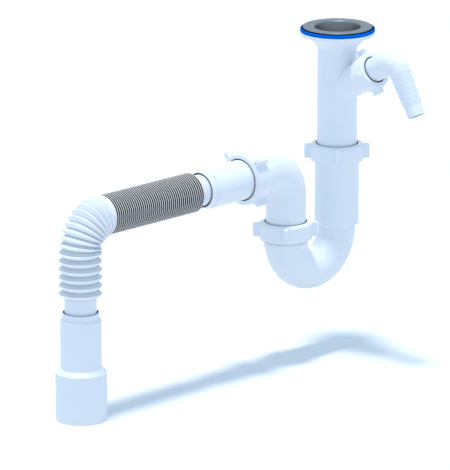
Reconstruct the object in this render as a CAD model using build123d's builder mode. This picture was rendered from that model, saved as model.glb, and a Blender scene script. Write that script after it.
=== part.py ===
from build123d import *
import os
from math import cos, radians, sin

# Sink trap, in millimetres. The origin is the centre of the sink seat, the top face of the sink
# gasket on the tail pipe's axis. +Z is up, the outlet runs towards -X and the branch leans to -Y.

# Clearances
slip = 0.3  # between two pieces that turn or slide on each other, on the radius
seat_gap = 0.3  # between stacked flat faces of different bodies
stop_gap = 0.5  # from a pipe's end to the stop in its socket
overrun = 1.0  # how far a cutting tool runs past the face that it opens
near = 0.01  # two radii within this are the same edge

# Standard pipe and its push socket
pipe_r = 20.0
pipe_wall = 1.8
socket_gap = 0.35
socket_wall = 1.85
bore_r = pipe_r - pipe_wall
socket_bore_r = pipe_r + socket_gap
socket_r = socket_bore_r + socket_wall

# Steel waste in the sink
flange_r = 34.8
flange_rise = 1.4
flange_lip_depth = 1.6  # the rim hangs free over the gasket
flange_lip_rise = 0.7
flange_edge_round = 0.4
steel = 0.8
cup_r = 23.2
cup_floor_r = 20.4
cup_depth = 12.0
lip_round = 1.7
floor_round = 2.4
dish_r = 8.0
dish_foot_r = 6.8
dish_depth = 1.6
strainer_holes = 8
strainer_hole_r = 3.6
strainer_ring_r = 14.0

# Sink gasket
gasket_r = 37.3
gasket_bore_r = 24.8
gasket_t = 3.4
gasket_round = 0.9

# Brim and throat that clamp against the sink from below
brim_r = 37.5
brim_t = 3.6
brim_round = 0.8
throat_r = 25.6
throat_depth = 5.1
throat_end_z = -17.4
flare_top_r = 31.0
flare_end_z = -19.5
flare_round = 3.0
tail_end_z = -172.0

# Screw that pulls the waste down, and the boss that takes it
screw_r = 3.0
screw_head_r = 6.2
screw_head_t = 2.4
screw_head_round = 1.0
screw_length = 19.0
screw_slot_w = 1.4
screw_slot_depth = 1.1
insert_r = 5.0
insert_t = 12.0
insert_sides = 6
insert_gap = 0.1
boss_r = 7.2
boss_top_z = -15.0
boss_length = 18.0
boss_ribs = 3
rib_angle = 90.0
rib_t = 2.2
rib_drop = 3.5

# Branch for an appliance hose, leaning up from the tail pipe
branch_z = -64.0
branch_tilt = 30.0
branch_r = 15.7
branch_bore_r = 12.2
branch_gasket_t = 1.8
branch_gasket_bore_r = 11.0
branch_nut_face = 59.7  # along the branch axis, from the tail pipe's axis
branch_nut_length = 15.0
branch_nut_r = 18.5
branch_nut_wall = 1.8
branch_nut_opening_r = 13.8
branch_lug_r = 24.0
branch_lug_angle = 0.0
branch_nut_round = 1.6

# Barbed hose nozzle
nozzle_flange_t = 1.7
nozzle_r = 12.3
nozzle_bore_r = 9.6
nozzle_corner = 90.5  # along the branch axis, from the tail pipe's axis
nozzle_bend_r = 12.8
nozzle_neck_r = 10.7
nozzle_neck_bore_r = 8.4
nozzle_reach = 61.0  # from the corner to the open tip
nozzle_tip_bore_r = 7.3
barb_count = 7
barb_pitch = 5.1
barb_step = 1.4
barb_first_r = 11.2
barb_last_r = 10.2
barb_start = 15.5  # from the corner

# Union nuts for the standard pipe
nut_length = 17.5
nut_r = 26.3
nut_wall = 3.0
nut_opening_r = pipe_r + 1.3
nut_round = 3.0
lug_r = 32.8
lug_t = 4.2
lug_drop = 1.1  # from the top of the nut to the top of a lug
lug_short = 1.9  # from the bottom of a lug to the bottom of the nut
lug_corner_round = 1.6
lug_tip_round = 1.4
lug_root_round = 1.2
lug_count = 4
lug_angle = 45.0

# Threaded neck under a nut, and what is stacked between them
thread_r = 23.2
thread_gap = 0.4
thread_short = 1.0  # how far above the nut's lower edge the thread ends
ring_t = 1.5
seal_flange_t = 2.5
seal_wedge = 3.0
seal_tip_t = 0.4
cone_rise = 1.4
cone_depth = 6.0
cavity_r = thread_r + thread_gap
ring_depth = nut_wall + seat_gap
seal_depth = ring_depth + ring_t + seat_gap
rim_depth = seal_depth + seal_flange_t + seat_gap

# Trap bend
trap_span = 73.0  # between the axes of its two legs
inlet_nut_z = -118.0
bend_z = -204.7
outlet_nut_rise = 19.4  # this and the rises and falls below are from the bend's ends
step_rise = 4.1
step_drop = 2.2
leg_stop_rise = 5.5
neck_groove = 0.5
bend_start_r = 18.6
bend_end_r = 21.4
bend_wall = 1.9
collar_fall = 0.8
collar_length = 5.9
collar_drop = 0.9
relief_r = 21.2
outlet_stop_fall = 4.5

# Outlet elbow
run_z = -131.2
elbow_bend_r = 25.0
neck_start = 114.1  # along the run, from the tail pipe's axis
neck_step = 1.2
sleeve_nut_x = 137.3
sleeve_stop_x = 115.5

# Push mouth for the hose's cuffs, on the sleeve and on the adapter
mouth_r = 18.0
mouth_bore_r = 17.2
mouth_length = 6.1
mouth_round = 0.6
mouth_slope = 2.0
mouth_lip = 7.2  # depth of the lip in front of the seal
lip_seal_t = 6.5
lip_seal_round = 0.5
seal_nose_depth = 2.0  # from the mouth's face to the seal's nose
land_r = 16.9
land_t = 2.5

# Hose sleeve
sleeve_mouth_x = 192.7

# Flexible hose
cuff_r = 15.6
cuff_wall = 1.4
cuff_bore_r = cuff_r - cuff_wall
cuff_start_x = 160.0
fold_wall = 1.0
folds_start_x = 205.4
folds_end_x = 324.6
closed_folds = 45  # the last one ends on its crest
closed_crest_r = 19.7
closed_valley_r = 16.8
closed_flat = 0.8
hose_bend_r = 30.2
hose_turn = 90.0
bend_folds = 10
open_crest_r = 20.9
open_valley_r = 16.8
crest_flat = 1.2
open_pitch = 8.1
open_folds = 6
open_start_z = -162.6
cuff_end_z = -246.0

# End adapter for the drain
adapter_mouth_z = -221.5
adapter_step_z = -277.0
adapter_slope = 4.0
adapter_end_z = -329.0
drain_r = 25.0
drain_wall = 2.0
drain_round = 2.0
pipe_chamfer = 0.8

# Heights, points and directions worked out from the sizes
outlet_nut_z = bend_z + outlet_nut_rise
step_z = bend_z + step_rise
leg_stop_z = bend_z + leg_stop_rise
collar_top_z = bend_z - collar_fall
collar_end_z = collar_top_z - collar_length
outlet_stop_z = bend_z - outlet_stop_fall
hose_x = folds_end_x + hose_bend_r
branch_dir = Vector(0, -cos(radians(branch_tilt)), sin(radians(branch_tilt)))
nozzle_dir = Vector(0, -sin(radians(branch_tilt)), -cos(radians(branch_tilt)))
branch_foot = Vector(0, 0, branch_z)
nozzle_bend = branch_foot + branch_dir * nozzle_corner
nozzle_tip = nozzle_bend + nozzle_dir * nozzle_reach

# Planes on the joints' axes; each normal runs along the axis, out of the joint
tail_axle = Plane.XY
inlet_end = Plane(origin=(0, 0, inlet_nut_z), x_dir=(1, 0, 0), z_dir=(0, 0, 1))
outlet_end = Plane(origin=(-trap_span, 0, outlet_nut_z), x_dir=(1, 0, 0), z_dir=(0, 0, 1))
sleeve_end = Plane(origin=(-sleeve_nut_x, 0, run_z), x_dir=(0, 0, 1), z_dir=(-1, 0, 0))
run_axle = Plane(origin=(0, 0, run_z), x_dir=(0, 0, 1), z_dir=(-1, 0, 0))
sleeve_mouth = run_axle.offset(sleeve_mouth_x)
drop_axle = Plane(origin=(-hose_x, 0, 0), x_dir=(1, 0, 0), z_dir=(0, 0, 1))
adapter_mouth = drop_axle.offset(adapter_mouth_z)
branch_axle = Plane(origin=branch_foot, x_dir=(1, 0, 0), z_dir=branch_dir)
branch_end = branch_axle.offset(branch_nut_face)
nozzle_end = Plane(origin=nozzle_tip, x_dir=(1, 0, 0), z_dir=nozzle_dir)


def outline(end, *points):
    """Closed section beside the axis of end, from points of (radius, height along the axis)."""
    through = Plane(origin=end.origin, x_dir=end.x_dir, z_dir=end.x_dir.cross(end.z_dir))
    with BuildSketch(through) as section:
        with BuildLine():
            Polyline(*points, close=True)
        make_face()
    return section.sketch


def axis_of(end):
    """Axis of the pieces that are turned on end."""
    return Axis(end.origin, end.z_dir)


def rim(piece, end, radius):
    """Circular edge of that radius furthest out along the axis of end."""
    found = piece.edges().filter_by(GeomType.CIRCLE)
    return found.filter_by(lambda e: abs(e.radius - radius) < near).sort_by(axis_of(end))[-1]


def finish(piece, name):
    """Label a piece and write its STEP file."""
    piece.part.label = name
    export_step(piece.part, f"parts/{name}.step")


def axis_distance(point, end):
    """Distance of a point from the axis of end."""
    return (point - end.origin).cross(end.z_dir).length


def lug_nut(end, body_r, length, opening_r, inner_r, wall, reach_r, edge_round, lug_turn):
    """Hand nut with four lugs, the first one turned by lug_turn. end is its outer face."""
    lug_foot = lug_short - length
    with BuildPart() as lugs:
        revolve(
            outline(end, (0, -lug_drop), (reach_r, -lug_drop), (reach_r, lug_foot), (0, lug_foot)),
            axis=axis_of(end),
        )
        fillet(lugs.edges().filter_by(GeomType.CIRCLE), lug_corner_round)
        with BuildSketch(end) as plan:
            with PolarLocations(reach_r / 2, lug_count, start_angle=lug_turn):
                Rectangle(reach_r, lug_t)
            tips = plan.vertices().filter_by(lambda v: Vector(v.X, v.Y).length > body_r)
            fillet(tips, lug_tip_round)
        extrude(amount=-length, mode=Mode.INTERSECT)
    with BuildPart() as nut:
        revolve(
            outline(end, (0, 0), (body_r, 0), (body_r, -length), (0, -length)), axis=axis_of(end)
        )
        fillet(rim(nut, end, body_r), edge_round)
        add(lugs.part)
        along = nut.edges().filter_by(GeomType.LINE).filter_by(axis_of(end))
        roots = along.filter_by(
            lambda e: abs(axis_distance(e.center(), end) - body_r) < near
            and e.length < length - edge_round - near
        )
        fillet(roots, lug_root_round)
        revolve(
            outline(
                end, (0, overrun), (opening_r, overrun), (opening_r, -wall), (inner_r, -wall),
                (inner_r, -length - overrun), (0, -length - overrun),
            ),
            axis=axis_of(end), mode=Mode.SUBTRACT,
        )
    return nut


def slip_ring(end):
    """Thin ring between the nut and the seal."""
    with BuildPart() as ring:
        with BuildSketch(end.offset(-ring_depth)):
            Circle(thread_r)
            Circle(pipe_r + slip, mode=Mode.SUBTRACT)
        extrude(amount=-ring_t)
    return ring


def cone_seal(end):
    """Tapered seal: a flange below the slip ring, and a wedge in the mouth of the neck."""
    grip_r = pipe_r + slip
    wedge_r = socket_bore_r + cone_rise - slip
    wedge_top = -seal_depth - seal_flange_t
    with BuildPart() as seal:
        revolve(
            outline(
                end, (grip_r, -seal_depth), (thread_r, -seal_depth), (thread_r, wedge_top),
                (wedge_r, wedge_top), (grip_r + seal_tip_t, wedge_top - seal_wedge),
                (grip_r, wedge_top - seal_wedge),
            ),
            axis=axis_of(end),
        )
    return seal


def socket_bore(end, stop):
    """Section of the space in a threaded neck: a coned mouth, then the bore down to its stop."""
    return outline(
        end, (0, -rim_depth + overrun), (socket_bore_r + cone_rise, -rim_depth + overrun),
        (socket_bore_r + cone_rise, -rim_depth), (socket_bore_r, -rim_depth - cone_depth),
        (socket_bore_r, stop), (0, stop),
    )


def lip_seal(end):
    """Rubber ring in the groove of a push mouth, with a nose that closes the mouth."""
    grip_r = cuff_r + slip
    nose_r = mouth_bore_r - seat_gap
    top = -mouth_lip - seat_gap
    with BuildPart() as seal:
        revolve(
            outline(
                end, (grip_r, -seal_nose_depth), (nose_r, -seal_nose_depth), (nose_r, top),
                (bore_r - seat_gap, top), (bore_r - seat_gap, top - lip_seal_t),
                (grip_r, top - lip_seal_t),
            ),
            axis=axis_of(end),
        )
        chamfer(seal.edges().filter_by(GeomType.CIRCLE).sort_by(SortBy.RADIUS)[:2], lip_seal_round)
    return seal


def mouth_bore(end, length):
    """Section of the space behind a push mouth: the lip, the seal's groove, a land and the bore."""
    land_top = mouth_lip + lip_seal_t + 2 * seat_gap
    return outline(
        end, (0, overrun), (mouth_bore_r, overrun), (mouth_bore_r, -mouth_lip),
        (bore_r, -mouth_lip), (bore_r, -land_top), (land_r, -land_top),
        (land_r, -land_top - land_t), (bore_r, -land_top - land_t), (bore_r, -length), (0, -length),
    )


os.makedirs("parts", exist_ok=True)

# Steel waste: a pressed flange with a strainer cup
floor_z = -cup_depth
dish_z = floor_z - dish_depth
with BuildPart() as waste_grate:
    revolve(
        outline(
            tail_axle, (flange_r - flange_lip_depth, 0),
            (flange_r - flange_lip_depth, flange_lip_rise), (flange_r, flange_lip_rise),
            (flange_r, flange_rise), (cup_r, flange_rise),
            (cup_floor_r, floor_z), (dish_r, floor_z), (dish_foot_r, dish_z),
            (screw_r + slip, dish_z), (screw_r + slip, dish_z - steel),
            (dish_foot_r, dish_z - steel), (dish_r, floor_z - steel),
            (cup_floor_r + steel, floor_z - steel), (cup_r + steel, 0),
        ),
        axis=Axis.Z,
    )
    fillet(rim(waste_grate, tail_axle, cup_r), lip_round)
    fillet(rim(waste_grate, tail_axle, flange_r), flange_edge_round)
    fillet(rim(waste_grate, tail_axle, cup_floor_r), floor_round)
    fillet(rim(waste_grate, tail_axle, cup_floor_r + steel), floor_round + steel)
    with BuildSketch(Plane.XY.offset(floor_z + overrun)):
        with PolarLocations(strainer_ring_r, strainer_holes):
            Circle(strainer_hole_r)
    extrude(amount=-(steel + 2 * overrun), mode=Mode.SUBTRACT)
finish(waste_grate, "waste_grate")

with BuildPart() as grate_screw:
    with BuildSketch(Plane.XY.offset(dish_z)):
        Circle(screw_head_r)
    extrude(amount=screw_head_t)
    fillet(grate_screw.edges().filter_by(GeomType.CIRCLE).sort_by(Axis.Z)[-1], screw_head_round)
    with BuildSketch(Plane.XY.offset(dish_z)):
        Circle(screw_r)
    extrude(amount=-screw_length)
    with BuildSketch(Plane.XY.offset(dish_z + screw_head_t)):
        Rectangle(2 * screw_head_r, screw_slot_w)
    extrude(amount=-screw_slot_depth, mode=Mode.SUBTRACT)
finish(grate_screw, "grate_screw")

with BuildPart() as grate_insert:
    with BuildSketch(Plane.XY.offset(boss_top_z)):
        RegularPolygon(insert_r, insert_sides)
        Circle(screw_r + insert_gap, mode=Mode.SUBTRACT)
    extrude(amount=-insert_t)
finish(grate_insert, "grate_insert")

with BuildPart() as sink_gasket:
    with BuildSketch(Plane.XY):
        Circle(gasket_r)
        Circle(gasket_bore_r, mode=Mode.SUBTRACT)
    extrude(amount=-gasket_t)
    fillet(
        sink_gasket.edges().filter_by(GeomType.CIRCLE).sort_by(SortBy.RADIUS)[-2:], gasket_round
    )
finish(sink_gasket, "sink_gasket")

# Inlet body: brim, throat, tail pipe and branch, moulded in one
brim_z = -gasket_t
branch_mouth_depth = branch_nut_wall + nozzle_flange_t + branch_gasket_t + 3 * seat_gap
branch_length = branch_nut_face - branch_mouth_depth
with BuildPart() as inlet_body:
    revolve(
        outline(
            tail_axle, (0, brim_z), (brim_r, brim_z), (brim_r, brim_z - brim_t),
            (flare_top_r, brim_z - brim_t), (pipe_r, flare_end_z),
            (pipe_r, tail_end_z + pipe_chamfer), (pipe_r - pipe_chamfer, tail_end_z),
            (0, tail_end_z),
        ),
        axis=Axis.Z,
    )
    rings = inlet_body.edges().filter_by(GeomType.CIRCLE)
    fillet(rings.filter_by(lambda e: abs(e.radius - brim_r) < near), brim_round)
    fillet(rim(inlet_body, tail_axle, flare_top_r), flare_round)
    with BuildSketch(branch_axle):
        Circle(branch_r)
    extrude(amount=branch_length)
    revolve(
        outline(
            tail_axle, (0, brim_z + overrun), (throat_r, brim_z + overrun),
            (throat_r, brim_z - throat_depth), (bore_r, throat_end_z),
            (bore_r, tail_end_z - overrun), (0, tail_end_z - overrun),
        ),
        axis=Axis.Z, mode=Mode.SUBTRACT,
    )
    with BuildSketch(branch_axle):
        Circle(branch_bore_r)
    extrude(amount=branch_length + overrun, mode=Mode.SUBTRACT)
    # Boss for the screw, held by radial ribs
    with BuildSketch(Plane.XY.offset(boss_top_z)):
        Circle(boss_r)
    extrude(amount=-boss_length)
    with BuildSketch(Plane.XY.offset(boss_top_z - rib_drop)):
        with PolarLocations((pipe_r + bore_r) / 4, boss_ribs, start_angle=rib_angle):
            Rectangle((pipe_r + bore_r) / 2, rib_t)
    extrude(amount=-(boss_length - rib_drop))
    with BuildSketch(Plane.XY.offset(boss_top_z)):
        RegularPolygon(insert_r + insert_gap, insert_sides)
    extrude(amount=-insert_t - insert_gap, mode=Mode.SUBTRACT)
    with BuildSketch(Plane.XY.offset(boss_top_z)):
        Circle(screw_r + slip)
    extrude(amount=-boss_length - overrun, mode=Mode.SUBTRACT)
finish(inlet_body, "inlet_body")

# Branch gasket, nozzle and nut
flange_depth = branch_nut_wall + seat_gap
gasket_depth = flange_depth + nozzle_flange_t + seat_gap
bend_depth = branch_nut_face - nozzle_corner + nozzle_bend_r
with BuildPart() as branch_gasket:
    with BuildSketch(branch_end.offset(-gasket_depth)):
        Circle(branch_r - slip)
        Circle(branch_gasket_bore_r, mode=Mode.SUBTRACT)
    extrude(amount=-branch_gasket_t)
finish(branch_gasket, "branch_gasket")

barb_taper = (barb_first_r - barb_last_r) / (barb_count - 1)
barbs = []
for i in range(barb_count):
    top = barb_start + i * barb_pitch - nozzle_reach
    crest = barb_first_r - i * barb_taper
    barbs += [(crest, top), (crest - barb_step, top + barb_pitch)]
with BuildPart() as hose_nozzle:
    revolve(
        outline(
            branch_end, (0, -flange_depth), (branch_r - slip, -flange_depth),
            (branch_r - slip, -flange_depth - nozzle_flange_t), (0, -flange_depth - nozzle_flange_t),
        ),
        axis=axis_of(branch_end),
    )
    with BuildSketch(branch_end.offset(-flange_depth)):
        Circle(nozzle_r)
    extrude(amount=flange_depth - bend_depth)
    with BuildLine() as bend:
        TangentArc(
            nozzle_bend - branch_dir * nozzle_bend_r, nozzle_bend + nozzle_dir * nozzle_bend_r,
            tangent=branch_dir,
        )
    with BuildSketch(branch_end.offset(-bend_depth)):
        Circle(nozzle_r)
    with BuildSketch(nozzle_end.offset(nozzle_bend_r - nozzle_reach)):
        Circle(nozzle_neck_r)
    sweep(path=bend.line, multisection=True)
    revolve(
        outline(
            nozzle_end, (0, nozzle_bend_r - nozzle_reach),
            (nozzle_neck_r, nozzle_bend_r - nozzle_reach),
            (nozzle_neck_r, barb_start - nozzle_reach), *barbs,
            (barbs[-1][0], 0), (0, 0),
        ),
        axis=axis_of(nozzle_end),
    )
    # Waterway
    with BuildSketch(branch_end.offset(-flange_depth - nozzle_flange_t - overrun)):
        Circle(nozzle_bore_r)
    extrude(amount=flange_depth + nozzle_flange_t + overrun - bend_depth, mode=Mode.SUBTRACT)
    with BuildSketch(branch_end.offset(-bend_depth)):
        Circle(nozzle_bore_r)
    with BuildSketch(nozzle_end.offset(nozzle_bend_r - nozzle_reach)):
        Circle(nozzle_neck_bore_r)
    sweep(path=bend.line, multisection=True, mode=Mode.SUBTRACT)
    revolve(
        outline(
            nozzle_end, (0, nozzle_bend_r - nozzle_reach),
            (nozzle_neck_bore_r, nozzle_bend_r - nozzle_reach), (nozzle_tip_bore_r, 0), (0, 0),
        ),
        axis=axis_of(nozzle_end), mode=Mode.SUBTRACT,
    )
finish(hose_nozzle, "hose_nozzle")

branch_nut = lug_nut(
    branch_end, branch_nut_r, branch_nut_length, branch_nut_opening_r, branch_r + slip,
    branch_nut_wall, branch_lug_r, branch_nut_round, branch_lug_angle,
)
finish(branch_nut, "branch_nut")

# The three unions on the standard pipe
for place, end in (("inlet", inlet_end), ("outlet", outlet_end), ("elbow", sleeve_end)):
    nut = lug_nut(
        end, nut_r, nut_length, nut_opening_r, cavity_r, nut_wall, lug_r, nut_round, lug_angle
    )
    finish(nut, f"{place}_nut")
    finish(slip_ring(end), f"{place}_slip_ring")
    finish(cone_seal(end), f"{place}_cone_seal")

# Trap bend: a long socket, the tapering bend and a short socket, moulded in one
thread_end = -nut_length + thread_short
with BuildPart() as trap_bend:
    revolve(
        outline(
            inlet_end, (0, -rim_depth), (thread_r, -rim_depth), (thread_r, thread_end),
            (socket_r, thread_end), (socket_r, step_z - inlet_nut_z),
            (bend_start_r - neck_groove, step_z - step_drop - inlet_nut_z),
            (bend_start_r - neck_groove, bend_z - inlet_nut_z), (0, bend_z - inlet_nut_z),
        ),
        axis=axis_of(inlet_end),
    )
    revolve(
        outline(
            outlet_end, (0, -rim_depth), (thread_r, -rim_depth), (thread_r, thread_end),
            (relief_r, thread_end), (relief_r, collar_top_z - outlet_nut_z),
            (socket_r, collar_top_z - outlet_nut_z),
            (socket_r, collar_end_z + collar_drop - outlet_nut_z),
            (bend_end_r, collar_end_z - outlet_nut_z), (0, collar_end_z - outlet_nut_z),
        ),
        axis=axis_of(outlet_end),
    )
    with BuildLine(Plane.XZ) as bend:
        ThreePointArc(
            (0, bend_z), (-trap_span / 2, bend_z - trap_span / 2), (-trap_span, bend_z)
        )
    with BuildSketch(Plane(origin=(0, 0, bend_z), x_dir=(1, 0, 0), z_dir=(0, 0, -1))):
        Circle(bend_start_r)
    with BuildSketch(Plane(origin=(-trap_span, 0, bend_z), x_dir=(-1, 0, 0), z_dir=(0, 0, 1))):
        Circle(bend_end_r)
    sweep(path=bend.line, multisection=True)
    # Waterway
    with BuildSketch(Plane(origin=(0, 0, bend_z), x_dir=(1, 0, 0), z_dir=(0, 0, -1))):
        Circle(bend_start_r - bend_wall)
    with BuildSketch(Plane(origin=(-trap_span, 0, bend_z), x_dir=(-1, 0, 0), z_dir=(0, 0, 1))):
        Circle(bend_end_r - bend_wall)
    sweep(path=bend.line, multisection=True, mode=Mode.SUBTRACT)
    revolve(
        socket_bore(inlet_end, leg_stop_z - inlet_nut_z), axis=axis_of(inlet_end),
        mode=Mode.SUBTRACT,
    )
    with BuildSketch(Plane.XY.offset(leg_stop_z + overrun)):
        Circle(bend_start_r - bend_wall)
    extrude(amount=bend_z - leg_stop_z - overrun, mode=Mode.SUBTRACT)
    revolve(
        socket_bore(outlet_end, outlet_stop_z - outlet_nut_z), axis=axis_of(outlet_end),
        mode=Mode.SUBTRACT,
    )
finish(trap_bend, "trap_bend")

# Outlet elbow: a plain spigot, a quarter bend and a threaded neck
spigot_z = outlet_stop_z + stop_gap
neck_depth = sleeve_nut_x - neck_start
with BuildPart() as outlet_elbow:
    with BuildLine(Plane.XZ) as bend:
        FilletPolyline(
            (-trap_span, spigot_z), (-trap_span, run_z), (-neck_start - neck_step, run_z),
            radius=elbow_bend_r,
        )
    with BuildSketch(Plane(origin=(-trap_span, 0, spigot_z), x_dir=(1, 0, 0), z_dir=(0, 0, 1))):
        Circle(pipe_r)
    sweep(path=bend.line)
    revolve(
        outline(
            sleeve_end, (0, -rim_depth), (thread_r, -rim_depth), (thread_r, thread_end),
            (socket_r, thread_end), (socket_r, neck_step - neck_depth), (pipe_r, -neck_depth),
            (0, -neck_depth),
        ),
        axis=axis_of(sleeve_end),
    )
    with BuildLine(Plane.XZ) as bend_bore:
        FilletPolyline(
            (-trap_span, spigot_z - overrun), (-trap_span, run_z), (-sleeve_stop_x - overrun, run_z),
            radius=elbow_bend_r,
        )
    with BuildSketch(
        Plane(origin=(-trap_span, 0, spigot_z - overrun), x_dir=(1, 0, 0), z_dir=(0, 0, 1))
    ):
        Circle(bore_r)
    sweep(path=bend_bore.line, mode=Mode.SUBTRACT)
    revolve(
        socket_bore(sleeve_end, sleeve_stop_x - sleeve_nut_x), axis=axis_of(sleeve_end),
        mode=Mode.SUBTRACT,
    )
    foot = outlet_elbow.edges().filter_by(GeomType.CIRCLE).sort_by(Axis.Z)[:2]
    chamfer(foot.sort_by(SortBy.RADIUS)[-1], pipe_chamfer)
finish(outlet_elbow, "outlet_elbow")

# Hose sleeve and its seal
sleeve_length = sleeve_mouth_x - sleeve_stop_x - stop_gap
with BuildPart() as hose_sleeve:
    revolve(
        outline(
            sleeve_mouth, (0, 0), (mouth_r, 0), (mouth_r, -mouth_length),
            (pipe_r, -mouth_length - mouth_slope), (pipe_r, pipe_chamfer - sleeve_length),
            (pipe_r - pipe_chamfer, -sleeve_length), (0, -sleeve_length),
        ),
        axis=axis_of(sleeve_mouth),
    )
    fillet(rim(hose_sleeve, sleeve_mouth, mouth_r), mouth_round)
    revolve(
        mouth_bore(sleeve_mouth, sleeve_length + overrun), axis=axis_of(sleeve_mouth),
        mode=Mode.SUBTRACT,
    )
finish(hose_sleeve, "hose_sleeve")
finish(lip_seal(sleeve_mouth), "sleeve_seal")

# Flexible hose: a cuff, closed folds, a bend of opening folds, open folds and the second cuff
closed_pitch = (folds_end_x - folds_start_x) / (closed_folds - 0.5)
closed = [(closed_valley_r, folds_start_x)]
for i in range(closed_folds - 1):
    crest = folds_start_x + (i + 0.5) * closed_pitch
    closed += [(closed_crest_r, crest - closed_flat / 2), (closed_crest_r, crest + closed_flat / 2)]
    closed += [(closed_valley_r, crest + closed_pitch / 2)]

# Rings of the bend: (turn in degrees, outer radius); a fold has a short flat on its crest
fold_turn = hose_turn / bend_folds
flat_turn = fold_turn * crest_flat / (open_pitch - crest_flat)
rings = [(0.0, closed_crest_r)]
for i in range(1, bend_folds):
    crest = i * fold_turn
    rings += [(crest - fold_turn / 2, open_valley_r), (crest - flat_turn / 2, open_crest_r)]
    rings += [(crest + flat_turn / 2, open_crest_r)]
rings += [(hose_turn - fold_turn / 2, open_valley_r)]
bend_centre = Vector(-folds_end_x, 0, run_z - hose_bend_r)


def ring_plane(turn):
    """Plane square to the hose's centre line, after a turn in degrees from the run."""
    a = radians(turn)
    return Plane(
        origin=bend_centre + Vector(-hose_bend_r * sin(a), 0, hose_bend_r * cos(a)),
        x_dir=(0, 1, 0), z_dir=(-cos(a), 0, -sin(a)),
    )


def open_profile(inset, cuff):
    """Line of the open folds, moved in by inset, down to the cuff, as (radius, height) points."""
    crest_r = open_crest_r - inset
    points = []
    for k in range(open_folds):
        z = open_start_z - k * open_pitch
        points += [(crest_r, z + crest_flat / 2), (crest_r, z - crest_flat / 2)]
        points += [(open_valley_r - inset, z - open_pitch / 2)]
    return points[:-1] + [(cuff, points[-1][1])]


with BuildPart() as flexible_hose:
    revolve(
        outline(
            run_axle, (0, cuff_start_x), (cuff_r, cuff_start_x), (cuff_r, folds_start_x), *closed,
            (closed_crest_r, folds_end_x - closed_flat / 2), (closed_crest_r, folds_end_x),
            (0, folds_end_x),
        ),
        axis=axis_of(run_axle),
    )
    for turn, radius in rings:
        with BuildSketch(ring_plane(turn)):
            Circle(radius)
    with BuildSketch(drop_axle.offset(open_start_z + crest_flat / 2)):
        Circle(open_crest_r)
    loft(ruled=True)
    revolve(
        outline(
            drop_axle, (0, open_start_z + crest_flat / 2), *open_profile(0, cuff_r),
            (cuff_r, cuff_end_z), (0, cuff_end_z),
        ),
        axis=axis_of(drop_axle),
    )
    # Waterway
    revolve(
        outline(
            run_axle, (0, cuff_start_x - overrun), (cuff_bore_r, cuff_start_x - overrun),
            (cuff_bore_r, folds_start_x + fold_wall),
            (closed_valley_r - fold_wall, folds_start_x + fold_wall),
            (closed_valley_r - fold_wall, folds_end_x), (0, folds_end_x),
        ),
        axis=axis_of(run_axle), mode=Mode.SUBTRACT,
    )
    with BuildSketch(ring_plane(0)):
        Circle(closed_valley_r - fold_wall)
    for turn, radius in rings[1:]:
        with BuildSketch(ring_plane(turn)):
            Circle(radius - fold_wall)
    with BuildSketch(drop_axle.offset(open_start_z + crest_flat / 2)):
        Circle(open_crest_r - fold_wall)
    loft(ruled=True, mode=Mode.SUBTRACT)
    revolve(
        outline(
            drop_axle, (0, open_start_z + crest_flat / 2), *open_profile(fold_wall, cuff_bore_r),
            (cuff_bore_r, cuff_end_z - overrun), (0, cuff_end_z - overrun),
        ),
        axis=axis_of(drop_axle), mode=Mode.SUBTRACT,
    )
finish(flexible_hose, "flexible_hose")

# End adapter and its seal
adapter_length = adapter_mouth_z - adapter_end_z
adapter_step = adapter_mouth_z - adapter_step_z
with BuildPart() as end_adapter:
    revolve(
        outline(
            adapter_mouth, (0, 0), (mouth_r, 0), (mouth_r, -mouth_length),
            (pipe_r, -mouth_length - mouth_slope), (pipe_r, -adapter_step),
            (drain_r, -adapter_step - adapter_slope), (drain_r, -adapter_length),
            (0, -adapter_length),
        ),
        axis=axis_of(adapter_mouth),
    )
    fillet(rim(end_adapter, adapter_mouth, mouth_r), mouth_round)
    fillet(rim(end_adapter, adapter_mouth, drain_r), drain_round)
    revolve(
        mouth_bore(adapter_mouth, adapter_step), axis=axis_of(adapter_mouth), mode=Mode.SUBTRACT
    )
    revolve(
        outline(
            adapter_mouth, (0, -adapter_step + overrun), (bore_r, -adapter_step + overrun),
            (bore_r, -adapter_step), (drain_r - drain_wall, -adapter_step - adapter_slope),
            (drain_r - drain_wall, -adapter_length - overrun), (0, -adapter_length - overrun),
        ),
        axis=axis_of(adapter_mouth), mode=Mode.SUBTRACT,
    )
finish(end_adapter, "end_adapter")
finish(lip_seal(adapter_mouth), "adapter_seal")
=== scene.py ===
"""Dressed scene of a white sink trap with a folded outlet hose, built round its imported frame.

Sizes are in metres, in the frame's own axes: the origin is the centre of the sink seat, +Z is up,
the outlet runs towards -X and the branch leans towards -Y.
"""

import logging
import math
from dataclasses import dataclass, field
from enum import Enum
from typing import Any

import bmesh
import bpy
from mathutils import Matrix, Vector


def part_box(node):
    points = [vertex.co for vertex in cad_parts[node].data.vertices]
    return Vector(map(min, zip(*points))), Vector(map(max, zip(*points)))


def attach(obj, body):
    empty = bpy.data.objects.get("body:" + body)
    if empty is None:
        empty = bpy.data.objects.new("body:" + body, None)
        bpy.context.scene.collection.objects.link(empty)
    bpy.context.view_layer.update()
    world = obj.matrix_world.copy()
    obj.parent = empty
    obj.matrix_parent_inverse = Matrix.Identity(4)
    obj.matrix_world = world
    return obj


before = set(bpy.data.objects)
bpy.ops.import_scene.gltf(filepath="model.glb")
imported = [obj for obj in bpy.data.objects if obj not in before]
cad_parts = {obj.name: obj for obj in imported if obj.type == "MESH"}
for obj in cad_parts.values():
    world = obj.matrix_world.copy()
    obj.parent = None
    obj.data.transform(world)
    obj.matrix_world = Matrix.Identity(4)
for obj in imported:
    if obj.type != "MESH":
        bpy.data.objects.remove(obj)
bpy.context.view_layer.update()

MM = 0.001
UP = Vector((0.0, 0.0, 1.0))
BACK = Vector((-1.0, 0.0, 0.0))
Colour = tuple[float, float, float]
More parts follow.
